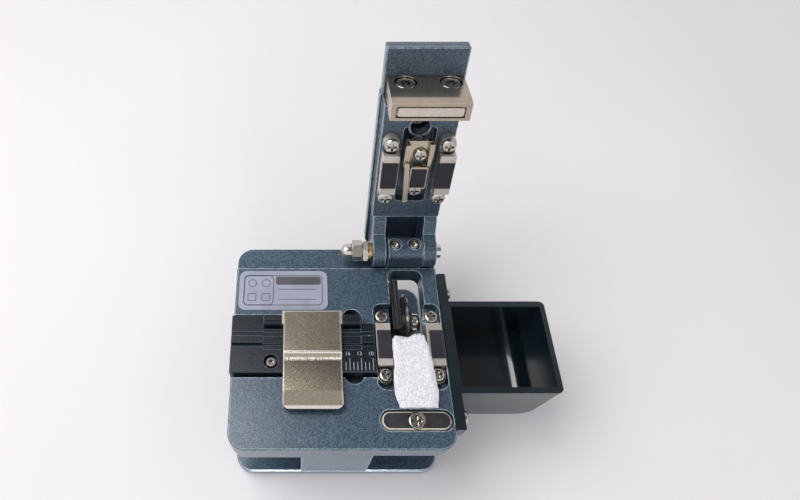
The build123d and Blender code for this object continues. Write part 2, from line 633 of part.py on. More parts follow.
def blade_carriage():
    """Black plate on the slider, with a grooved upright that stands in the deck's slot."""
    plate = block(PLATE_X, (-10.0, 24.0), PLATE_Z)
    plate = fillet(plate.edges().filter_by(Axis.X), 1.5)
    upright = block(UPRIGHT_X, UPRIGHT_Y, (PLATE_Z[0] + 2, UPRIGHT_TOP))
    shape = plate + upright
    middle = sum(UPRIGHT_X) / 2
    groove_y = (UPRIGHT_Y[0] - 1, UPRIGHT_Y[1] + 1)
    shape -= block((middle - 0.2, middle + 0.2), groove_y, (UPRIGHT_TOP - 0.5, DECK))
    shape -= rod_x((UPRIGHT_X[0] - 1, PLATE_X[1] + 1), BLADE_Y, BLADE_Z, 2.0)
    for y, z in CARRIAGE_SCREWS:
        shape -= rod_x((PLATE_X[0] - 1, PLATE_X[1] + 1), y, z, 1.0)
        shape -= rod_x((PLATE_X[1] - 1.4, PLATE_X[1] + 1), y, z, 1.9)
    for y, z in GRIP_SCREWS:
        shape -= rod_x((PLATE_X[0] - 1, PLATE_X[1] + 1), y, z, 1.0)
    shape -= Pos(DETENT_X, DETENT_Y, PLATE_Z[0] - 0.5) * Sphere(1.05)
    return shape


def carriage_screws():
    screw = Rot(0, 90, 0) * socket_screw(1.8, 1.3, 1.0, 3.9, 1.3)
    return group(Pos(PLATE_X[1] - 1.4, y, z) * screw for y, z in CARRIAGE_SCREWS)


def carriage_grip():
    """The finger piece that pushes the carriage forwards."""
    grip = block((PLATE_X[1], 25.6), (-10.0, -5.0), (PLATE_Z[0], 17.5))
    grip = fillet(grip.edges().group_by(Axis.X)[-1], 1.0)
    for z in (9.4, 11.4, 13.4, 15.4):
        grip -= block((18.2, 24.6), (-11, -9.6), (z - 0.35, z + 0.35))
    for y, z in GRIP_SCREWS:
        grip -= rod_x((PLATE_X[1] - 1, PLATE_X[1] + 3.2), y, z, 1.0)
    return grip


def grip_screws():
    screw = Rot(0, -90, 0) * pan_screw(1.85, 1.2, 1.0, 6.2)
    return group(Pos(PLATE_X[0], y, z) * screw for y, z in GRIP_SCREWS)


def blade_shaft():
    shaft = rod_x((UPRIGHT_X[0], 21.0), BLADE_Y, BLADE_Z, 2.0)
    flange = rod_x((UPRIGHT_X[1], 17.6), BLADE_Y, BLADE_Z, 3.2)
    return shaft + flange - rod_x((17.5, 22.0), BLADE_Y, BLADE_Z, 1.0)


def blade_hub():
    hub = rod_x((17.7, 18.3), BLADE_Y, BLADE_Z, 4.0) + rod_x((18.2, 20.4), BLADE_Y, BLADE_Z, 2.75)
    return hub - rod_x((17, 22), BLADE_Y, BLADE_Z, 2.0 + RUNNING_GAP)


def blade_wheel():
    """Carbide disc whose rim comes to a fine edge."""
    half = BLADE_THICK / 2
    rim = BLADE_R - 0.7
    outline = [(2.75, -half), (rim, -half), (BLADE_R, -0.02), (BLADE_R, 0.02), (rim, half), (2.75, half)]
    face = make_face(Plane.XZ * Polyline(*outline, close=True))
    disc = revolve(face, Axis.Z)
    return Pos(BLADE_X, BLADE_Y, BLADE_Z) * Rot(0, 90, 0) * disc


def blade_clamp_ring():
    ring = rod_x((19.3, 20.3), BLADE_Y, BLADE_Z, 4.0)
    return ring - rod_x((19, 21), BLADE_Y, BLADE_Z, 2.75)


def blade_lock_screw():
    screw = Rot(0, 90, 0) * pan_screw(2.6, 2.1, 1.0, 3.2)
    return Pos(21.0, BLADE_Y, BLADE_Z) * screw


def detent_plunger():
    barrel = rod_z(DETENT_X, DETENT_Y, (MAT_THICK + 0.3, 6.65), 1.5)
    ball_space = Pos(DETENT_X, DETENT_Y, 6.15) * Sphere(1.02)
    return barrel - ball_space - rod_z(DETENT_X, DETENT_Y, (2.2, 8.0), 0.9)


def detent_ball():
    return Pos(DETENT_X, DETENT_Y, 6.15) * Sphere(1.0)


def detent_spring():
    return Pos(DETENT_X, DETENT_Y, 2.25) * coil_spring(0.65, 0.13, 2.9, 5)


# ---------- catch plate and scrap bin ----------

def catch_plate():
    plate = slab((CATCH_X[0] + 0.5, CATCH_X[1] - 0.5), (CATCH_Y[0] + 0.4, CATCH_Y[1] - 0.4),
                 (CATCH_FLOOR, CATCH_TOP), 2.2)
    plate = chamfer(plate.faces().sort_by(Axis.Z)[-1].edges(), 0.35)
    seat = rod_z(CATCH_CENTRE_X, CATCH_CENTRE_Y, (CATCH_TOP - 1.1, 40), 2.2)
    return plate - seat - rod_z(CATCH_CENTRE_X, CATCH_CENTRE_Y, (20, 40), 1.25)


def catch_plate_screw():
    return Pos(CATCH_CENTRE_X, CATCH_CENTRE_Y, CATCH_TOP - 1.1) * pan_screw(2.15, 1.0, 1.25, 3.4)


def bin_profile(x, floor, corner, depth_y):
    """The bin seen from the front: its outer side leans in and turns under with a round corner."""
    lean = 2.0
    points = [(x[0], DECK), (x[0], floor), (x[1] - lean, floor), (x[1], DECK)]
    face = make_face(Plane.XZ * Polyline(*points, close=True))
    outer_corner = face.vertices().sort_by(Axis.Z)[:2].sort_by(Axis.X)[-1]
    face = fillet(outer_corner, corner)
    solid = Pos(0, depth_y[1], 0) * extrude(face, depth_y[1] - depth_y[0], dir=(0, -1, 0))
    return solid


def scrap_bin():
    outer = bin_profile((29.3, BIN_X[1]), BIN_FLOOR, 5.5, BIN_Y)
    leaning = outer.faces().sort_by(Axis.X)[-1].edges()
    outer = fillet(leaning.filter_by(lambda edge: abs(edge.tangent_at(0).Y) < 0.1), 1.5)
    inner_y = (BIN_Y[0] + 1.6, BIN_Y[1] - 1.6)
    inner = bin_profile((30.8, BIN_X[1] - BIN_WALL), BIN_FLOOR + 1.4, 4.2, inner_y)
    bar = slab((BIN_X[0], BIN_BAR_X), BIN_BAR_Y, (BIN_BAR_Z, DECK), 0.3)
    shape = outer + bar
    shape -= Pos(0, 0, 0.01) * inner
    rebate_x = (31.5, BIN_X[1] - BIN_WALL - 0.5)
    shape -= block(rebate_x, (inner_y[0] + 0.5, inner_y[1] - 0.5), (DECK - 0.5, DECK + 1))
    for y in BIN_SCREW_Y:
        shape -= rod_x((BIN_X[0] - 1, BIN_BAR_X + 1), y, BIN_SCREW_Z, 1.0)
    return shape


def bin_screws():
    screw = Rot(0, 90, 0) * pan_screw(1.95, 1.4, 1.0, 5.6)
    return group(Pos(BIN_BAR_X, y, BIN_SCREW_Z) * screw for y in BIN_SCREW_Y)


# ---------- packing strip ----------

def packing_strip():
    """A soft strip laid over the blade slot between the clamps."""
    top = [(-0.1, 34.9), (-8.0, 34.9), (-12.5, 34.3), (-18.2, 33.1)]
    under = [(-18.2, 31.85), (-13.5, 32.6), (-8.5, 33.25), (-0.1, 33.25)]
    return side_profile(top + under, (13.6, 24.0))


def main():
    os.makedirs("parts", exist_ok=True)
    rubbers = [clamp_rubber_space(x) for x in LOWER_RUBBER_X + UPPER_RUBBER_X]
    nodes = {
        "body_casting": body_casting(),
        "base_mat": base_mat(),
        "rating_plate": rating_plate(),
        "adapter_plate": adapter_plate(),
        "adapter_screws": adapter_screws(),
        "adapter_magnet": rod_z(*FLAP_MAGNET, (PAD_TOP - 1.5, PAD_TOP - 0.05), 2.0),
        "flap_hinge_pin": flap_hinge_pin(),
        "fibre_flap": flap(),
        "flap_rubber": flap_rubber(),
        "lower_clamp_left": lower(clamp_block(LOWER_LEFT_X) - rubbers[0]),
        "lower_clamp_right": lower(clamp_block(LOWER_RIGHT_X) - rubbers[1]),
        "lower_rubber_left": lower(rubbers[0]),
        "lower_rubber_right": lower(rubbers[1]),
        "lower_clamp_screws": clamp_screws(lower, (LOWER_LEFT_X, LOWER_RIGHT_X), FOOT_THICK),
        "catch_plate": catch_plate(),
        "catch_plate_screw": catch_plate_screw(),
        "scrap_bin": scrap_bin(),
        "bin_screws": bin_screws(),
        "hinge_pin": hinge_pin(),
        "hinge_grub_screws": hinge_grub_screws(),
        "hinge_bush": sleeve((8.8, 9.95), 2.4, PIN_R),
        "hinge_spacer": sleeve((13.45, 14.15), 3.4, PIN_R),
        "jam_nut": jam_nut(),
        "acorn_nut": acorn_nut(),
        "guide_rail": guide_rail(),
        "rail_screws": rail_screws(),
        "travel_stop_pins": travel_stop_pins(),
        "detent_plunger": detent_plunger(),
        "detent_ball": detent_ball(),
        "detent_spring": detent_spring(),
        "packing_strip": packing_strip(),
        "slider_block": slider_block(),
        "blade_carriage": blade_carriage(),
        "carriage_screws": carriage_screws(),
        "carriage_grip": carriage_grip(),
        "grip_screws": grip_screws(),
        "blade_shaft": blade_shaft(),
        "blade_lock_screw": blade_lock_screw(),
        "blade_hub": blade_hub(),
        "blade_wheel": blade_wheel(),
        "blade_clamp_ring": blade_clamp_ring(),
        "lid_arm": lid_arm(),
        "magnet_block": magnet_block(),
        "catch_magnet": catch_magnet(),
        "magnet_block_screws": magnet_block_screws(),
        "lid_pocket_screw": lid_pocket_screw(),
        "upper_clamp_left": upper(clamp_block(UPPER_LEFT_X) - rubbers[2]),
        "upper_clamp_right": upper(clamp_block(UPPER_RIGHT_X) - rubbers[3]),
        "upper_rubber_left": upper(rubbers[2]),
        "upper_rubber_right": upper(rubbers[3]),
        "upper_clamp_screws": clamp_screws(upper, (UPPER_LEFT_X, UPPER_RIGHT_X), FOOT_THICK),
        "anvil_shoulder_screws": anvil_shoulder_screws(),
        "anvil_springs": anvil_springs(),
        "anvil_bracket": anvil_bracket(),
        "anvil_rubber": lid_pose(anvil_rubber_space()),
    }
    for name, shape in nodes.items():
        save(name, shape)


main()
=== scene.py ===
import json
import math
import random

import bmesh
import bpy
from mathutils import Matrix, Vector, noise


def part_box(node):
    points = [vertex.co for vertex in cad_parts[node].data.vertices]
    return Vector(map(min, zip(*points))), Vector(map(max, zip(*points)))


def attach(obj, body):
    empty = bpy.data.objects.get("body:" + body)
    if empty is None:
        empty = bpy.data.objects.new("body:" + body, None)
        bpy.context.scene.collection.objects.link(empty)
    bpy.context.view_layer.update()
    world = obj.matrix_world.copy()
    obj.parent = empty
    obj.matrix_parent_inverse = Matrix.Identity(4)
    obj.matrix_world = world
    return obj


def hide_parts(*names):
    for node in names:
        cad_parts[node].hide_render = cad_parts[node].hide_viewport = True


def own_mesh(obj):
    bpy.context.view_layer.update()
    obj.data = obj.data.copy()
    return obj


# Looks of an optical-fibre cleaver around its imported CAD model. Metres, in the CAD's own frame.

MM = 0.001

# The open lid's lean in degrees, then the clamps' screws and the anvil's springs, as in the CAD model
LID_TILT = 14.8
SCREW_HEAD = 3.7 * MM
SCREW_RISE = 1.35 * MM
CLAMP_SHANK = 3.9 * MM
SPRING_WIRE = 0.2 * MM
SPRING_TURNS = 4

# Where the fibre flap's features lie along Y, from its rear edge to its lip, then how far its sides
# are from its middle. Pairs are where a change starts and ends. Its folds, lip and rims get painted
# highlights, and its lower panel gets painted shade towards the crease.
FLAP_REAR_EDGE = (6.85 * MM, 7.1 * MM)
FLAP_SHOULDER = -4.15 * MM
FLAP_CREASE = -5.75 * MM
FLAP_CREASE_EDGE = (-6.4 * MM, -6.0 * MM)
FLAP_PAINTED_SHADE = (-14.2 * MM, -6.7 * MM)
FLAP_WORN = -9.5 * MM
FLAP_LIP = -18.5 * MM
FLAP_SIDE_EDGE = (7.10 * MM, 7.40 * MM)

# Line widths, heights and corners of what is printed or engraved
PRINT_LINE = 0.22 * MM
PRINT_CORNER = 1.3 * MM
PRINT_RISE = 0.04 * MM
ENGRAVING_RISE = 0.02 * MM
SCALE_PITCH = 1.0 * MM

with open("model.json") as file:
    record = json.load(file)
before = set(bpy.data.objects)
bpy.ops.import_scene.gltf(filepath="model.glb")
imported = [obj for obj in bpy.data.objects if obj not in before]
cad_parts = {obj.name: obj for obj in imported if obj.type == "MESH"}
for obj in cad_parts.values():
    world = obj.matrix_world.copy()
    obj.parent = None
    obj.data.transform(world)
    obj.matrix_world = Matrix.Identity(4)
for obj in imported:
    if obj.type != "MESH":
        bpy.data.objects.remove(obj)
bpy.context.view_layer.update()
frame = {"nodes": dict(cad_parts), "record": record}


# ---------- material building blocks ----------

def new_material(name, **settings):
    """A node material. Settings are values of the Principled shader's own sockets."""
    material = bpy.data.materials.new(name)
    material.use_nodes = True
    tree = material.node_tree
    shader = tree.nodes["Principled BSDF"]
    for socket, value in settings.items():
        shader.inputs[socket.replace("_", " ")].default_value = value
    return material, tree, shader


def add(tree, kind, **values):
    """A node, with its properties (lower case) and its inputs (by name, spaces as underscores) set."""
    node = tree.nodes.new(kind)
    for key, value in values.items():
        if hasattr(node, key):
            setattr(node, key, value)
        else:
            node.inputs[key.replace("_", " ")].default_value = value
    return node


def place(tree, scale=(1, 1, 1), rotation=(0, 0, 0)):
    """Object coordinates, which are the row frame in metres, stretched by scale."""
    coordinates = add(tree, "ShaderNodeTexCoord")
    mapping = add(tree, "ShaderNodeMapping", Scale=scale, Rotation=rotation)
    tree.links.new(coordinates.outputs["Object"], mapping.inputs["Vector"])
    return mapping.outputs["Vector"]


def grain(tree, size, detail=2.0, roughness=0.5, stretch=(1, 1, 1), rotation=(0, 0, 0)):
    """Noise whose features are about size metres across, from 0 to 1."""
    texture = add(tree, "ShaderNodeTexNoise", Scale=1 / size, Detail=detail, Roughness=roughness)
    tree.links.new(place(tree, stretch, rotation), texture.inputs["Vector"])
    return texture.outputs["Fac"]


def spread(tree, value, low, high, to_low=0.0, to_high=1.0):
    """Take the part of a value between low and high to the range to_low to to_high."""
    node = add(tree, "ShaderNodeMapRange")
    for index, number in enumerate((low, high, to_low, to_high)):
        node.inputs[index + 1].default_value = number
    tree.links.new(value, node.inputs[0])
    return node.outputs[0]


def blend_colour(tree, factor, first, second):
    """Mix two colours, each a colour or another node's output."""
    node = add(tree, "ShaderNodeMix", data_type="RGBA")
    tree.links.new(factor, node.inputs[0])
    for index, colour in ((6, first), (7, second)):
        if isinstance(colour, tuple):
            node.inputs[index].default_value = (*colour, 1.0)
        else:
            tree.links.new(colour, node.inputs[index])
    return node.outputs[2]


def combine(tree, operation, first, second):
    """Arithmetic on two values, each a number or another node's output."""
    node = add(tree, "ShaderNodeMath", operation=operation)
    for index, value in enumerate((first, second)):
        if isinstance(value, (int, float)):
            node.inputs[index].default_value = value
        else:
            tree.links.new(value, node.inputs[index])
    return node.outputs[0]


def band(tree, value, middle, half_width):
    """1 near middle, fading to 0 a little beyond half_width on either side of it."""
    off = combine(tree, "ABSOLUTE", combine(tree, "SUBTRACT", value, middle), 0.0)
    return spread(tree, off, half_width * 0.6, half_width * 1.3, 1.0, 0.0)


def edge_mask(tree, radius, softness=0.25):
    """1 on edges, where a rounded normal differs from the surface's own, and 0 on faces."""
    bevel = add(tree, "ShaderNodeBevel", samples=6, Radius=radius)
    geometry = add(tree, "ShaderNodeNewGeometry")
    dot = add(tree, "ShaderNodeVectorMath", operation="DOT_PRODUCT")
    tree.links.new(bevel.outputs[0], dot.inputs[0])
    tree.links.new(geometry.outputs["Normal"], dot.inputs[1])
    return spread(tree, dot.outputs["Value"], 1.0, 1.0 - softness)


def cavity(tree, reach, darkest):
    """Painted shade: from darkest in corners and recesses about reach metres deep to 1 on open faces."""
    occlusion = add(tree, "ShaderNodeAmbientOcclusion", samples=6, Distance=reach)
    return spread(tree, occlusion.outputs["AO"], 0.35, 0.90, darkest, 1.0)


def shaded(tree, colour, shade):
    """Darken a colour by a factor."""
    return blend_colour(tree, shade, (0.0, 0.0, 0.0), colour)


def set_bump(tree, shader, height, depth, strength=1.0):
    """Raise the surface by up to depth metres where height is 1."""
    bump = add(tree, "ShaderNodeBump", Strength=strength, Distance=depth)
    tree.links.new(height, bump.inputs["Height"])
    tree.links.new(bump.outputs[0], shader.inputs["Normal"])


# ---------- materials ----------

def paint(name, base, fleck, worn_and_highlight):
    """Sand-textured metallic powder coat under a clear film, with pale flecks, painted shade in corners and
    recesses, and lighter edges that are partly wear and partly a painted highlight.
    """
    film = {"Coat_Weight": 1.0, "Coat_Roughness": 0.28, "Coat_IOR": 1.55}
    material, tree, shader = new_material(name, Metallic=0.65, **film)
    speckle = grain(tree, 0.29 * MM, detail=3.0, roughness=0.68)
    cloud = grain(tree, 7 * MM, detail=2.0)
    unevenness = spread(tree, cloud, 0.2, 0.8, 0.8, 1.0)
    flecks = combine(tree, "MULTIPLY", spread(tree, speckle, 0.41, 0.69), unevenness)
    # The coat's colour darkens in corners and recesses: painted shade.
    coat = shaded(tree, blend_colour(tree, flecks, base, fleck), cavity(tree, 1.2 * MM, 0.35))
    wear = spread(tree, grain(tree, 1.2 * MM, detail=3.0), 0.36, 0.56, 0.35, 1.0)
    # Lighter edges, broken up by wear: partly wear, partly a painted highlight.
    scuff_and_highlight = combine(tree, "MULTIPLY", edge_mask(tree, 0.36 * MM, 0.12), wear)
    tree.links.new(blend_colour(tree, scuff_and_highlight, coat, worn_and_highlight), shader.inputs["Base Color"])
    tree.links.new(spread(tree, speckle, 0.3, 0.7, 0.62, 0.45), shader.inputs["Roughness"])
    set_bump(tree, shader, speckle, 0.15 * MM, 0.9)
    return material


def streaks(tree, size, narrowness):
    """Noise drawn out into long slanting streaks, for scratches."""
    return grain(tree, size, detail=5.0, roughness=0.8, stretch=(narrowness, 3.0, 1.0), rotation=(0, 0, 0.9))


def metal(name, colour, shade, roughness, grain_size, depth,
          stretch=(1, 1, 1), edge_highlight=None, metallic=1.0, scratches=0.0):
    """A metal with tone and roughness that vary along its grain, painted shade in its recesses, a painted
    highlight on its edges when one is given, and fine scratches.
    """
    material, tree, shader = new_material(name, Metallic=metallic)
    fine = grain(tree, grain_size, detail=4.0, roughness=0.65, stretch=stretch)
    cloud = grain(tree, 3.5 * MM, detail=3.0)
    broad = spread(tree, cloud, 0.25, 0.75, 0.55, 1.0)
    tone = combine(tree, "MULTIPLY", broad, spread(tree, fine, 0.3, 0.7, 0.7, 1.0))
    # Darker in recesses and corners: painted shade.
    finish = shaded(tree, blend_colour(tree, tone, shade, colour), cavity(tree, 0.7 * MM, 0.12))
    # A lighter colour along the edges: a painted highlight.
    if edge_highlight:
        finish = blend_colour(tree, edge_mask(tree, 0.16 * MM), finish, edge_highlight)
    if scratches:
        mark = spread(tree, streaks(tree, 0.9 * MM, 0.12), 0.64, 0.70, 0.0, scratches)
        finish = blend_colour(tree, mark, finish, (0.85, 0.82, 0.78))
    tree.links.new(finish, shader.inputs["Base Color"])
    polish = spread(tree, fine, 0.3, 0.7, roughness * 0.8, roughness * 1.25)
    tree.links.new(polish, shader.inputs["Roughness"])
    set_bump(tree, shader, fine, depth)
    return material


def anodised(name, dark, light, worn_and_highlight, roughness):
    """Black anodised or blackened metal, with fine marks along X and lighter, bare-looking edges that are
    partly wear and partly a painted highlight.
    """
    material, tree, shader = new_material(name, Specular_IOR_Level=0.38)
    fine = grain(tree, 0.14 * MM, detail=3.0, roughness=0.6)
    lines = grain(tree, 0.5 * MM, detail=3.0, stretch=(0.3, 1.2, 1.2))
    drawn = spread(tree, lines, 0.3, 0.7, 0.4, 1.0)
    tone = combine(tree, "MULTIPLY", spread(tree, fine, 0.3, 0.7), drawn)
    coat = blend_colour(tree, tone, dark, light)
    # Lighter edges: partly wear, partly a painted highlight.
    rubbed_and_highlighted = blend_colour(tree, edge_mask(tree, 0.16 * MM, 0.15), coat, worn_and_highlight)
    tree.links.new(rubbed_and_highlighted, shader.inputs["Base Color"])
    polish = spread(tree, lines, 0.3, 0.7, roughness * 0.85, roughness * 1.2)
    tree.links.new(polish, shader.inputs["Roughness"])
    set_bump(tree, shader, fine, 0.015 * MM, 0.7)
    return material


def moulded(name, dark, light, roughness, edge_highlight, depth=0.01 * MM, specular=0.5):
    """Moulded plastic or rubber: faint mottling, a fine texture and slightly lighter edges, which are a
    painted highlight.
    """
    material, tree, shader = new_material(name, Specular_IOR_Level=specular)
    fine = grain(tree, 0.2 * MM, detail=2.0)
    cloud = grain(tree, 5 * MM, detail=3.0)
    body = blend_colour(tree, spread(tree, cloud, 0.3, 0.7), dark, light)
    # The lighter edges are a painted highlight.
    tree.links.new(blend_colour(tree, edge_mask(tree, 0.2 * MM), body, edge_highlight), shader.inputs["Base Color"])
    polish = spread(tree, cloud, 0.3, 0.7, roughness * 0.85, roughness * 1.2)
    tree.links.new(polish, shader.inputs["Roughness"])
    set_bump(tree, shader, fine, depth, 0.6)
    return material


def bevelled_black(name):
    """A black plate whose sloping rim is bare metal, given a pale, mostly diffuse colour that stands in for
    its reflection: a painted reflection.
    """
    material, tree, shader = new_material(name)
    coordinates = add(tree, "ShaderNodeTexCoord")
    split = add(tree, "ShaderNodeSeparateXYZ")
    tree.links.new(coordinates.outputs["Normal"], split.inputs[0])
    flat = spread(tree, split.outputs["Z"], 0.90, 0.97)
    cloud = grain(tree, 2.0 * MM, detail=4.0)
    mottle = spread(tree, cloud, 0.3, 0.7)
    black = blend_colour(tree, mottle, (0.045, 0.043, 0.048), (0.075, 0.070, 0.078))
    # The rim's pale colour, with little metallic, is a painted reflection of bare metal.
    bright_metal_highlight = blend_colour(tree, mottle, (0.72, 0.63, 0.50), (0.95, 0.90, 0.82))
    tree.links.new(blend_colour(tree, flat, bright_metal_highlight, black), shader.inputs["Base Color"])
    tree.links.new(spread(tree, flat, 0.0, 1.0, 0.25, 0.85), shader.inputs["Metallic"])
    tree.links.new(spread(tree, flat, 0.0, 1.0, 0.18, 0.42), shader.inputs["Roughness"])
    set_bump(tree, shader, grain(tree, 0.2 * MM), 0.006 * MM)
    return material


def flap_bends(tree, split):
    """1 where highlights are painted on the flap's folds and edges: its wrinkled crease, its shoulder, its
    lip and its rim.
    """
    y = split.outputs["Y"]
    teeth = grain(tree, 0.30 * MM, detail=2.0, stretch=(1.0, 0.3, 0.3))
    wrinkles = spread(tree, teeth, 0.36, 0.52)
    crease = combine(tree, "MULTIPLY", band(tree, y, FLAP_CREASE, 0.35 * MM), wrinkles)
    shoulder = band(tree, y, FLAP_SHOULDER, 0.35 * MM)
    lip = band(tree, y, FLAP_LIP, 0.6 * MM)
    low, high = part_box("fibre_flap")
    from_middle = combine(tree, "SUBTRACT", split.outputs["X"], (low.x + high.x) / 2)
    off_middle = combine(tree, "ABSOLUTE", from_middle, 0.0)
    sides = spread(tree, off_middle, *FLAP_SIDE_EDGE, 0.0, 0.9)
    rear = spread(tree, y, *FLAP_REAR_EDGE, 0.0, 0.9)
    painted_highlights = crease
    for feature in (shoulder, lip, sides, rear):
        painted_highlights = combine(tree, "MAXIMUM", painted_highlights, feature)
    return painted_highlights


def sheet_nickel(name):
    """Champagne nickel sheet for the flap: a fine grain, painted highlights on its folds and edges, painted
    shade on the lower panel towards the crease, and a scratched panel.
    """
    material, tree, shader = new_material(name, Metallic=1.0)
    fine = grain(tree, 0.30 * MM, detail=3.0, roughness=0.7)
    cloud = grain(tree, 4 * MM, detail=3.0)
    broad = spread(tree, cloud, 0.25, 0.75, 0.9, 1.0)
    tone = combine(tree, "MULTIPLY", broad, spread(tree, fine, 0.32, 0.68, 0.45, 1.0))
    finish = blend_colour(tree, tone, (0.12, 0.10, 0.073), (0.52, 0.455, 0.36))
    split = add(tree, "ShaderNodeSeparateXYZ")
    tree.links.new(place(tree), split.inputs[0])
    y = split.outputs["Y"]
    # Painted shade: the lower panel darkens towards the crease.
    painted_crease_shade = spread(tree, y, *FLAP_PAINTED_SHADE, 1.0, 0.55)
    upper_panel = spread(tree, y, *FLAP_CREASE_EDGE)
    finish = shaded(tree, finish, combine(tree, "MAXIMUM", painted_crease_shade, upper_panel))
    # Painted highlights on the folds, the lip and the rim.
    finish = blend_colour(tree, flap_bends(tree, split), finish, (0.98, 0.92, 0.82))
    scratches = spread(tree, streaks(tree, 1.1 * MM, 0.16), 0.63, 0.69, 0.0, 0.55)
    scratches = combine(tree, "MULTIPLY", scratches, band(tree, y, FLAP_WORN, 2.4 * MM))
    finish = blend_colour(tree, scratches, finish, (0.80, 0.77, 0.72))
    # A painted highlight along every edge.
    finish = blend_colour(tree, edge_mask(tree, 0.2 * MM, 0.1), finish, (0.98, 0.93, 0.84))
    tree.links.new(finish, shader.inputs["Base Color"])
    tree.links.new(spread(tree, fine, 0.3, 0.7, 0.22, 0.27), shader.inputs["Roughness"])
    set_bump(tree, shader, fine, 0.0008 * MM)
    return material


def varnish(name):
    """Blue-green thread-lock varnish, uneven and glossy."""
    gloss = {"Specular_IOR_Level": 0.7, "Coat_Weight": 0.5, "Coat_Roughness": 0.15}
    material, tree, shader = new_material(name, **gloss)
    cloud = grain(tree, 0.6 * MM, detail=3.0)
    colour = blend_colour(tree, spread(tree, cloud, 0.3, 0.7), (0.002, 0.045, 0.075), (0.008, 0.14, 0.19))
    tree.links.new(colour, shader.inputs["Base Color"])
    tree.links.new(spread(tree, cloud, 0.3, 0.7, 0.2, 0.4), shader.inputs["Roughness"])
    set_bump(tree, shader, cloud, 0.05 * MM)
    return material


def soft_white(name):
    """Non-woven wipe: embossed dimples over matted fibres, darker where the surface is low as painted shade.
    """
    nap = {"Specular_IOR_Level": 0.25, "Sheen_Weight": 0.25, "Sheen_Roughness": 0.5}
    material, tree, shader = new_material(name, **nap)
    fibres = grain(tree, 0.28 * MM, detail=4.0, roughness=0.8)
    pebbles = add(tree, "ShaderNodeTexVoronoi", Scale=1 / (0.36 * MM))
    tree.links.new(place(tree, (1.0, 0.6, 1.0), (0, 0, 0.5)), pebbles.inputs["Vector"])
    raised = spread(tree, pebbles.outputs["Distance"], 0.15, 0.75, 0.45, 0.0)
    height = combine(tree, "ADD", raised, fibres)
    # Colour follows the height: the low dimples are darker as painted shade, mottled by the fibres.
    tone = spread(tree, height, 0.45, 0.95)
    colour = blend_colour(tree, tone, (0.64, 0.625, 0.67), (0.95, 0.94, 0.965))
    tree.links.new(colour, shader.inputs["Base Color"])
    tree.links.new(spread(tree, fibres, 0.3, 0.7, 0.8, 0.95), shader.inputs["Roughness"])
    set_bump(tree, shader, height, 0.22 * MM)
    return material


def pale_floor(name):
    """A matte, nearly white table top."""
    material, tree, shader = new_material(name, Specular_IOR_Level=0.2)
    cloud = grain(tree, 120 * MM, detail=2.0)
    colour = blend_colour(tree, spread(tree, cloud, 0.3, 0.7), (0.72, 0.70, 0.712), (0.75, 0.73, 0.742))
    tree.links.new(colour, shader.inputs["Base Color"])
    tree.links.new(spread(tree, cloud, 0.3, 0.7, 0.65, 0.75), shader.inputs["Roughness"])
    return material


def dark_materials():
    """Painted, blackened, moulded and printed finishes. The last colour given to each is for its edges: a
    painted highlight, partly wear on the powder coat and the anodised metal.
    """
    return {
        "body_paint": paint("powder_coat", (0.006, 0.023, 0.043), (0.130, 0.215, 0.295), (0.66, 0.83, 0.90)),
        "foot_rubber": moulded("foot_rubber", (0.012, 0.012, 0.013), (0.022, 0.022, 0.024), 0.8,
                               (0.04, 0.04, 0.04)),
        "label_print": moulded("label_film", (0.26, 0.28, 0.36), (0.33, 0.35, 0.44), 0.38,
                               (0.46, 0.48, 0.56)),
        "label_ink": moulded("label_ink", (0.055, 0.055, 0.060), (0.085, 0.085, 0.092), 0.5,
                             (0.12, 0.12, 0.13)),
        "scale_ink": moulded("scale_engraving", (0.22, 0.24, 0.25), (0.42, 0.44, 0.45), 0.7,
                             (0.5, 0.5, 0.5)),
        "black_anodised": anodised("black_anodised", (0.002, 0.005, 0.008), (0.007, 0.014, 0.028),
                                   (0.20, 0.25, 0.30), 0.28),
        "rubber_pad": moulded("pad_rubber", (0.018, 0.017, 0.023), (0.028, 0.027, 0.035), 0.6,
                              (0.06, 0.06, 0.07), specular=0.3),
        "catch_black": bevelled_black("bevelled_black"),
        "bin_black": moulded("bin_black", (0.003, 0.008, 0.011), (0.005, 0.013, 0.017), 0.15,
                             (0.010, 0.024, 0.032), depth=0.002 * MM, specular=0.9),
        "carriage_black": anodised("black_oxide", (0.006, 0.007, 0.008), (0.018, 0.019, 0.021),
                                   (0.20, 0.20, 0.20), 0.36),
        "grip_black": moulded("grip_black", (0.010, 0.010, 0.011), (0.018, 0.018, 0.020), 0.5,
                              (0.05, 0.05, 0.05)),
    }


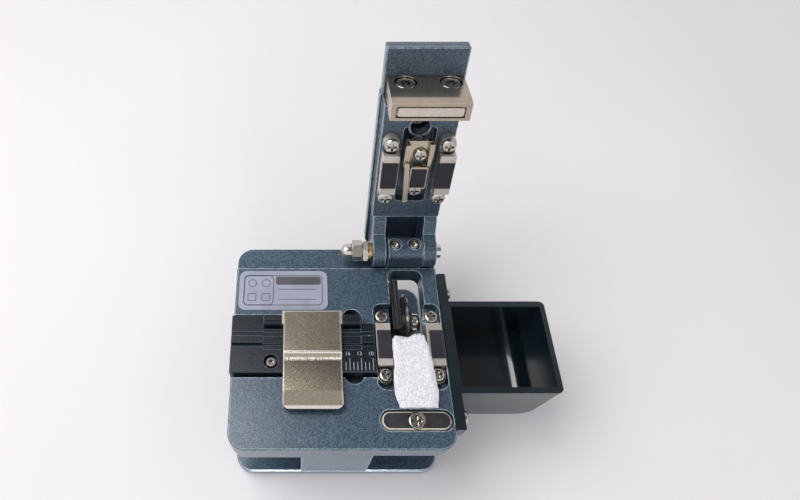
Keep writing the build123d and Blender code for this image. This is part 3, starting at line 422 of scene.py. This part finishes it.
def metal_materials():
    """Bare and plated metals, all with painted shade in their recesses; the colours given for their edges
    are painted highlights.
    """
    # A pale colour for the painted highlight on edges.
    bright_metal_highlight = (0.93, 0.92, 0.90)
    return {
        "screw_steel": metal("nickel_screw", (0.70, 0.66, 0.60), (0.34, 0.31, 0.27), 0.16,
                             0.30 * MM, 0.006 * MM, edge_highlight=bright_metal_highlight),
        "varnish_steel": metal("varnished_screw", (0.70, 0.66, 0.61), (0.32, 0.30, 0.27), 0.17,
                               0.30 * MM, 0.006 * MM, edge_highlight=bright_metal_highlight),
        "magnet": metal("magnet_nickel", (0.78, 0.71, 0.61), (0.58, 0.52, 0.44), 0.28,
                        0.3 * MM, 0.004 * MM, scratches=0.3),
        "pin_steel": metal("ground_pin", (0.82, 0.80, 0.77), (0.60, 0.58, 0.55), 0.18,
                           0.12 * MM, 0.003 * MM, edge_highlight=bright_metal_highlight),
        "flap_nickel": metal("champagne_nickel", (0.64, 0.55, 0.43), (0.26, 0.215, 0.165), 0.20,
                             0.22 * MM, 0.006 * MM, edge_highlight=(0.95, 0.89, 0.79), scratches=0.45),
        "flap_sheet": sheet_nickel("sheet_nickel"),
        "clamp_steel": metal("blasted_steel", (0.82, 0.77, 0.69), (0.34, 0.30, 0.25), 0.34,
                             0.20 * MM, 0.03 * MM, edge_highlight=(0.95, 0.92, 0.86), metallic=0.9),
        "brass": metal("turned_brass", (0.86, 0.62, 0.27), (0.50, 0.33, 0.12), 0.28,
                       0.1 * MM, 0.006 * MM, stretch=(4, 1, 1)),
        "rail_steel": metal("ground_steel", (0.60, 0.60, 0.60), (0.40, 0.40, 0.41), 0.3,
                            0.2 * MM, 0.006 * MM, stretch=(1, 0.1, 1)),
        "spring_steel": metal("spring_wire", (0.66, 0.65, 0.63), (0.40, 0.39, 0.38), 0.3,
                              0.1 * MM, 0.004 * MM),
        "carbide": metal("ground_carbide", (0.80, 0.80, 0.81), (0.50, 0.50, 0.52), 0.16,
                         0.1 * MM, 0.002 * MM, edge_highlight=(1.0, 1.0, 1.0)),
    }


def make_materials():
    """Every finish, by slot, and four that stand for no slot: the flap's, two inks' and the varnish's."""
    others = {"strip_white": soft_white("strip_white"), "varnish": varnish("thread_lock_varnish")}
    return {**dark_materials(), **metal_materials(), **others}


# The one node whose finish differs from the rest of its slot
OWN_FINISH = {"fibre_flap": "flap_sheet"}


def paint_nodes(materials):
    """Give each CAD node its slot's material, or its own."""
    slots = {part["node"]: part["material_slot"] for part in frame["record"]["subparts"]}
    for name, obj in frame["nodes"].items():
        obj.data.materials.clear()
        obj.data.materials.append(materials[OWN_FINISH.get(name, slots[name])])


# ---------- mesh building blocks ----------

def mesh_object(name, build, material, body):
    """Make an object from a bmesh that build fills, and fix it to a CAD body."""
    mesh = bpy.data.meshes.new(name)
    data = bmesh.new()
    build(data)
    bmesh.ops.recalc_face_normals(data, faces=data.faces)
    data.to_mesh(mesh)
    data.free()
    obj = bpy.data.objects.new(name, mesh)
    bpy.context.scene.collection.objects.link(obj)
    mesh.materials.append(material)
    for polygon in mesh.polygons:
        polygon.use_smooth = True
    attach(obj, body)
    return obj


def rounded_outline(x, y, radius, steps=6):
    """Points round a rectangle with round corners, anticlockwise."""
    points = []
    corners = ((x[1], y[1], 0), (x[0], y[1], 90), (x[0], y[0], 180), (x[1], y[0], 270))
    for corner_x, corner_y, start in corners:
        centre_x = corner_x - math.copysign(radius, corner_x - sum(x) / 2)
        centre_y = corner_y - math.copysign(radius, corner_y - sum(y) / 2)
        for step in range(steps + 1):
            angle = math.radians(start + 90 * step / steps)
            points.append((centre_x + radius * math.cos(angle), centre_y + radius * math.sin(angle)))
    return points


def printed_frame(name, x, y, radius, width, z, height, material, body, slot):
    """A thin raised line round a rounded rectangle."""
    inner_x = (x[0] + width, x[1] - width)
    inner_y = (y[0] + width, y[1] - width)
    sharpest = 0.02 * MM
    outer = rounded_outline(x, y, radius)
    inner = rounded_outline(inner_x, inner_y, max(radius - width, sharpest))

    def build(data):
        rings = []
        for points, level in ((outer, z), (outer, z + height), (inner, z + height), (inner, z)):
            rings.append([data.verts.new((px, py, level)) for px, py in points])
        count = len(outer)
        for ring, following in zip(rings, rings[1:] + rings[:1]):
            for i in range(count):
                j = (i + 1) % count
                data.faces.new((ring[i], ring[j], following[j], following[i]))

    return mesh_object(name, build, material, body)


def printed_panel(name, x, y, radius, z, height, material, body, slot):
    """A thin raised patch with round corners."""
    points = rounded_outline(x, y, radius)

    def build(data):
        low = [data.verts.new((px, py, z)) for px, py in points]
        high = [data.verts.new((px, py, z + height)) for px, py in points]
        data.faces.new(high)
        data.faces.new(list(reversed(low)))
        for i in range(len(points)):
            j = (i + 1) % len(points)
            data.faces.new((low[i], low[j], high[j], high[i]))

    obj = mesh_object(name, build, material, body)
    for polygon in obj.data.polygons:
        polygon.use_smooth = False
    return obj


# ---------- label, scale and varnish details ----------

def label_details(materials):
    """A generic rating label: empty outlined panels and one dark bar, with nothing written on them."""
    low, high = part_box("rating_plate")
    inset = 1.35 * MM
    x = (low.x + inset, high.x - inset)
    y = (low.y + inset, high.y - inset)
    split = x[0] + 0.38 * (x[1] - x[0])
    row = (y[1] - y[0]) / 3
    print_on = (high.z - 0.01 * MM, PRINT_RISE, materials["label_ink"], "base", "label_print")
    printed_frame("label_outline", x, y, PRINT_CORNER, PRINT_LINE, *print_on)
    printed_frame("label_left_box", (x[0], split), y, PRINT_CORNER, PRINT_LINE, *print_on)
    bar_x = (split + 0.5 * MM, x[1] - 0.45 * MM)
    bar_y = (y[1] - row + 0.1 * MM, y[1] - 0.45 * MM)
    printed_panel("label_bar", bar_x, bar_y, 0.7 * MM, *print_on)
    label_blanks((x[0], split), y, print_on)
    rule_x = (bar_x[0] + 0.8 * MM, bar_x[1] - 1.2 * MM)
    for index in (1, 2):
        middle = y[1] - row * (index + 0.42)
        rule_y = (middle - 0.09 * MM, middle + 0.09 * MM)
        printed_panel(f"label_rule_{index}", rule_x, rule_y, 0.05 * MM, *print_on)


def label_blanks(x, y, print_on):
    """Two columns of empty shapes, squarish below and round above, where a label would have its marks."""
    half = 1.2 * MM
    for column, share_x in enumerate((0.28, 0.74)):
        middle_x = x[0] + share_x * (x[1] - x[0])
        for line, share_y in enumerate((0.27, 0.73)):
            middle_y = y[0] + share_y * (y[1] - y[0])
            corner = (0.4 + 0.75 * line) * MM
            blank_x = (middle_x - half, middle_x + half)
            blank_y = (middle_y - half, middle_y + half)
            printed_frame(f"label_blank_{column}_{line}", blank_x, blank_y, corner, 0.2 * MM, *print_on)


def scale_details(materials):
    """The cleave-length scale: marks 1 mm apart, with numbers on every third one."""
    low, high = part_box("adapter_plate")
    ink = materials["scale_ink"]
    # The plate's box includes its hinge knuckles; its flat top is level with the clamp rubbers'.
    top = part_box("lower_rubber_left")[1].z - 0.01 * MM
    print_on = (top, ENGRAVING_RISE, ink, "base", "black_anodised")
    first_x = high.x - 0.75 * MM
    near_y = low.y + 0.55 * MM
    for step in range(8):
        x = first_x - step * SCALE_PITCH
        length = 3.2 * MM if step % 3 == 0 else 2.2 * MM
        mark_x = (x - 0.07 * MM, x + 0.07 * MM)
        printed_panel(f"scale_mark_{step}", mark_x, (near_y, near_y + length), 0.05 * MM, *print_on)
    for number in (10, 13, 16):
        x = first_x - (number - 10) * SCALE_PITCH - 0.45 * MM
        scale_number(number, Vector((x, near_y + 4.45 * MM, top)), ink)
    dot_x = (first_x - 0.75 * MM, first_x - 0.45 * MM)
    dot_y = (near_y + 9.3 * MM, near_y + 9.6 * MM)
    printed_panel("scale_dot", dot_x, dot_y, 0.149 * MM, *print_on)


def scale_number(number, centre, ink):
    """One of the scale's numbers, as a thin raised mesh."""
    text = bpy.data.curves.new(f"scale_number_{number}", "FONT")
    text.body = str(number)
    text.size = 1.45 * MM
    text.align_x = "CENTER"
    text.align_y = "CENTER"
    text.extrude = ENGRAVING_RISE
    template = bpy.data.objects.new("template", text)
    bpy.context.scene.collection.objects.link(template)
    bpy.context.view_layer.update()
    evaluated = template.evaluated_get(bpy.context.evaluated_depsgraph_get())
    mesh = bpy.data.meshes.new_from_object(evaluated)
    bpy.data.objects.remove(template)
    mesh.transform(Matrix.Translation(centre))
    obj = bpy.data.objects.new(f"scale_number_{number}", mesh)
    bpy.context.scene.collection.objects.link(obj)
    mesh.materials.clear()
    mesh.materials.append(ink)
    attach(obj, "base")


def varnish_blob(name, centre, size, normal, seed, material, body):
    """A dab of varnish: a flattened, lumpy drop lying on a surface."""
    rng = random.Random(seed)
    offset = Vector((rng.random(), rng.random(), rng.random())) * 10
    lift = Vector(normal).normalized()
    turn = Vector((0, 0, 1)).rotation_difference(lift).to_matrix()

    def build(data):
        bmesh.ops.create_icosphere(data, subdivisions=4, radius=1.0)
        for vertex in data.verts:
            wobble = 1.0 + 0.35 * noise.noise(vertex.co * 1.3 + offset)
            sized = Vector((vertex.co.x * size[0], vertex.co.y * size[1], vertex.co.z * size[2]))
            point = sized * wobble
            vertex.co = Vector(centre) + turn @ point

    return mesh_object(name, build, material, body)


def varnish_details(materials):
    """Thread-lock varnish beside the screws that set the clamps and the anvil."""
    drop = materials["varnish"]
    low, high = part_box("lower_clamp_screws")
    radius = SCREW_HEAD / 2
    foot = low.z + CLAMP_SHANK
    near, far = low.y + radius, high.y - radius
    left, right = low.x + radius, high.x - radius
    spots = [
        (left - 1.2 * MM, far - 1.5 * MM),
        (left + 1.3 * MM, far - 1.5 * MM),
        (right - 1.2 * MM, far - 1.4 * MM),
        (left - 0.8 * MM, near + 1.7 * MM),
        (left + 0.9 * MM, near + 1.6 * MM),
        (right - 1.2 * MM, near + 1.4 * MM),
    ]
    size = (1.1 * MM, 0.95 * MM, 0.45 * MM)
    for index, (x, y) in enumerate(spots):
        varnish_blob(f"varnish_lower_{index}", (x, y, foot), size, (0, 0, 1), index, drop, "base")
    lid_varnish(drop)


def lid_directions():
    """The way that the open lid's clamps face, and the way along the lid from its hinge to its tip."""
    tilt = math.radians(LID_TILT)
    face = Vector((0, -math.cos(tilt), math.sin(tilt)))
    along_lid = Vector((0, math.sin(tilt), math.cos(tilt)))
    return face, along_lid


def reach(node, direction):
    """How far a CAD node goes along a direction, least and most."""
    obj = frame["nodes"][node]
    values = [(obj.matrix_world @ vertex.co).dot(direction) for vertex in obj.data.vertices]
    return min(values), max(values)


def lid_varnish(drop):
    """The same on the open lid, whose clamps and anvil look towards the front."""
    face, up = lid_directions()
    low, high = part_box("upper_clamp_screws")
    radius = SCREW_HEAD / 2
    left, right = low.x + radius, high.x - radius
    middle = sum(reach("anvil_shoulder_screws", Vector((1, 0, 0)))) / 2
    root, tip = reach("upper_clamp_screws", up)
    root, tip = root + radius, tip - radius
    foot = reach("upper_clamp_screws", face)[1] - SCREW_RISE
    plate = reach("anvil_shoulder_screws", face)[1] - SCREW_RISE
    anvil_tip = reach("anvil_shoulder_screws", up)[1] - radius
    # body, place across, place along the lid, level of the surface, share of the full size
    spots = [
        ("lid", left - 1.4 * MM, tip - 1.1 * MM, foot, 1.0),
        ("lid", left - 0.4 * MM, tip - 2.0 * MM, foot, 1.1),
        ("lid", right - 0.7 * MM, tip - 2.0 * MM, foot, 1.0),
        ("lid", right + 0.6 * MM, tip - 1.9 * MM, foot, 0.8),
        ("lid", left - 1.4 * MM, root + 0.9 * MM, foot, 0.7),
        ("lid", right - 1.4 * MM, root + 0.9 * MM, foot, 0.7),
        ("anvil", middle - 0.9 * MM, anvil_tip - 1.7 * MM, plate, 0.9),
        ("anvil", middle + 0.6 * MM, anvil_tip - 1.9 * MM, plate, 1.0),
    ]
    for index, (body, x, height, level, share) in enumerate(spots):
        centre = Vector((x, 0, 0)) + face * level + up * height
        size = (1.1 * share * MM, 0.9 * share * MM, 0.45 * MM)
        varnish_blob(f"varnish_upper_{index}", centre, size, face, 10 + index, drop, body)


# ---------- anvil springs ----------

def anvil_coils(materials):
    """The two coils behind the anvil, fixed to the lid. The real coils shorten as it lifts into the lid;
    these keep one length.
    """
    across = Vector((1, 0, 0))
    face, up = lid_directions()
    left, right = reach("anvil_springs", across)
    root, tip = reach("anvil_springs", up)
    seat, free_end = reach("anvil_springs", face)
    outer = (right - left) / 2
    rise = free_end - seat - 2 * SPRING_WIRE
    steps = 28 * SPRING_TURNS
    sides = 10

    def build(data):
        for centre in (root + outer, tip - outer):
            rings = []
            for step in range(steps + 1):
                turn = 2 * math.pi * SPRING_TURNS * step / steps
                radial = across * math.cos(turn) + up * math.sin(turn)
                middle = across * (left + right) / 2 + up * centre + radial * (outer - SPRING_WIRE)
                middle += face * (seat + SPRING_WIRE + rise * step / steps)
                ring = []
                for side in range(sides):
                    angle = 2 * math.pi * side / sides
                    offset = radial * math.cos(angle) + face * math.sin(angle)
                    ring.append(data.verts.new(middle + offset * SPRING_WIRE))
                rings.append(ring)
            for ring, following in zip(rings, rings[1:]):
                for side in range(sides):
                    nxt = (side + 1) % sides
                    data.faces.new((ring[side], ring[nxt], following[nxt], following[side]))
            data.faces.new(rings[0])
            data.faces.new(rings[-1])

    coils = mesh_object("anvil_coils", build, materials["spring_steel"], "lid")
    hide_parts("anvil_springs")
    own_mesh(coils)


# ---------- packing strip ----------

STRIP_ROWS = 84
STRIP_SECTION = 56


def along(table, t):
    """Smoothly interpolate a short list of values spread evenly from t = 0 to t = 1."""
    place_in = min(max(t, 0.0), 1.0) * (len(table) - 1)
    index = min(int(place_in), len(table) - 2)
    part = place_in - index
    part = part * part * (3 - 2 * part)
    return table[index] * (1 - part) + table[index + 1] * part


def packing_strip(materials):
    """A folded non-woven wipe that guards the blade: narrow and ragged at the back, fuller in front."""
    low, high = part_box("packing_strip")
    length = high.y - low.y
    # In millimetres, from the back to the front: how far the sides and the top are from the faces of the
    # CAD strip's box, and how thick the strip is
    left = [0.1, 0.0, 0.05, -0.3, -0.2, 0.75]
    right = [-1.7, -0.9, -0.45, 0.0, 0.3, -0.1]
    top = [0.0, 0.05, -0.15, -0.55, -1.05, -1.7]
    thick = [1.75, 1.8, 1.75, 1.7, 1.65, 1.3]

    def surface(t, angle):
        x_left = low.x + along(left, t) * MM
        x_right = high.x + along(right, t) * MM
        centre = Vector(((x_left + x_right) / 2, high.y - t * length, high.z + along(top, t) * MM))
        half_width = (x_right - x_left) / 2
        half_thick = along(thick, t) * MM / 2
        centre.z -= half_thick
        cos, sin = math.cos(angle), math.sin(angle)
        x = math.copysign(abs(cos) ** 0.42, cos) * half_width
        z = math.copysign(abs(sin) ** 0.62, sin) * half_thick
        return centre + Vector((x, 0, z))

    def build(data):
        rings = []
        for row in range(STRIP_ROWS + 1):
            t = row / STRIP_ROWS
            ring = []
            for step in range(STRIP_SECTION):
                angle = 2 * math.pi * step / STRIP_SECTION
                point = surface(t, angle)
                lump = noise.noise(point * 700) * 0.16 + noise.noise(point * 2600) * 0.07
                fold = math.sin((point.x - low.x) / MM * 1.5 + t * 2) * 0.05
                point.z += (lump + fold) * MM
                point.x += noise.noise(point * 900 + Vector((5, 0, 0))) * 0.14 * MM
                ragged = max(0.0, 1 - t * 8) + 0.45 * max(0.0, (t - 0.93) * 14)
                point.y += ragged * noise.noise(Vector((point.x * 1300, 3.4, 7.6))) * 2.2 * MM
                point.y = max(point.y, low.y + 0.1 * MM)
                ring.append(data.verts.new(point))
            rings.append(ring)
        for ring, following in zip(rings, rings[1:]):
            for step in range(STRIP_SECTION):
                nxt = (step + 1) % STRIP_SECTION
                data.faces.new((ring[step], ring[nxt], following[nxt], following[step]))
        for ring, shift in ((rings[0], 0.25 * MM), (rings[-1], -0.02 * MM)):
            middle = sum((vertex.co for vertex in ring), Vector()) / len(ring)
            centre = data.verts.new(middle + Vector((0, shift, 0)))
            for step in range(STRIP_SECTION):
                data.faces.new((ring[step], ring[(step + 1) % STRIP_SECTION], centre))

    strip = mesh_object("packing_strip_soft", build, materials["strip_white"], "base")
    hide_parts("packing_strip")
    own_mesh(strip)


# ---------- stage ----------

def floor(material):
    """A plain floor under the object."""
    data = bpy.data.meshes.new("floor")
    side = 3.0
    corners = [(-side, -side, 0), (side, -side, 0), (side, side, 0), (-side, side, 0)]
    data.from_pydata(corners, [], [(0, 1, 2, 3)])
    obj = bpy.data.objects.new("floor", data)
    bpy.context.scene.collection.objects.link(obj)
    data.materials.append(material)


def area_light(name, location, target, size, power, colour):
    """A rectangular light at location, turned to face target."""
    data = bpy.data.lights.new(name, "AREA")
    data.shape = "RECTANGLE"
    data.size, data.size_y = size
    data.energy = power
    data.color = colour
    light = bpy.data.objects.new(name, data)
    bpy.context.scene.collection.objects.link(light)
    light.location = location
    light.rotation_euler = (Vector(target) - Vector(location)).to_track_quat("-Z", "Y").to_euler()
    return light


def studio_world():
    """Bright walls all round, brighter on the left, under a darker ceiling."""
    world = bpy.data.worlds.new("studio")
    world.use_nodes = True
    tree = world.node_tree
    direction = add(tree, "ShaderNodeSeparateXYZ")
    tree.links.new(add(tree, "ShaderNodeTexCoord").outputs["Generated"], direction.inputs[0])
    height = spread(tree, direction.outputs["Z"], 0.76, 0.90, 0.86, 0.20)
    front = spread(tree, direction.outputs["Y"], -0.9, 0.0, 1.35, 1.0)
    side = spread(tree, direction.outputs["X"], -1.0, 1.0, 1.2, 0.66)
    strength = combine(tree, "MULTIPLY", combine(tree, "MULTIPLY", height, side), front)
    tree.links.new(strength, tree.nodes["Background"].inputs["Strength"])
    tree.nodes["Background"].inputs["Color"].default_value = (0.97, 0.97, 1.0, 1.0)
    bpy.context.scene.world = world


def lights():
    """A broad window above and to the left, a small glint beside it and a faint low light in front."""
    warm = (1.0, 0.99, 0.985)
    cool = (0.97, 0.97, 1.0)
    area_light("window", (-0.33, 0.07, 0.56), (0.0, 0.0, 0.03), (0.44, 0.36), 2.40, warm)
    front = area_light("front_fill", (0.0, -0.30, 0.016), (0.0, 0.0, 0.004), (0.30, 0.02), 0.03, cool)
    front.data.spread = math.radians(9)
    area_light("glint", (-0.11, 0.09, 0.56), (-0.01, -0.01, 0.03), (0.10, 0.10), 0.30, warm)
    studio_world()


def camera():
    """Looks down from the front, 59 degrees below the horizon, with the object left of the middle."""
    focal_in_widths = 0.7275
    degrees_from_straight_down = 30.7
    data = bpy.data.cameras.new("camera")
    data.sensor_width = 36.0
    data.lens = data.sensor_width * focal_in_widths
    data.shift_x = 0.125
    data.clip_start = 0.005
    obj = bpy.data.objects.new("camera", data)
    bpy.context.scene.collection.objects.link(obj)
    obj.location = (-10.3 * MM, -57.9 * MM, 176 * MM)
    obj.rotation_euler = (math.radians(degrees_from_straight_down), 0, 0)
    bpy.context.scene.camera = obj
    bpy.context.scene.view_settings.view_transform = "Standard"


def main():
    materials = make_materials()
    paint_nodes(materials)
    label_details(materials)
    scale_details(materials)
    varnish_details(materials)
    anvil_coils(materials)
    packing_strip(materials)
    floor(pale_floor("pale_floor"))
    lights()
    camera()


main()
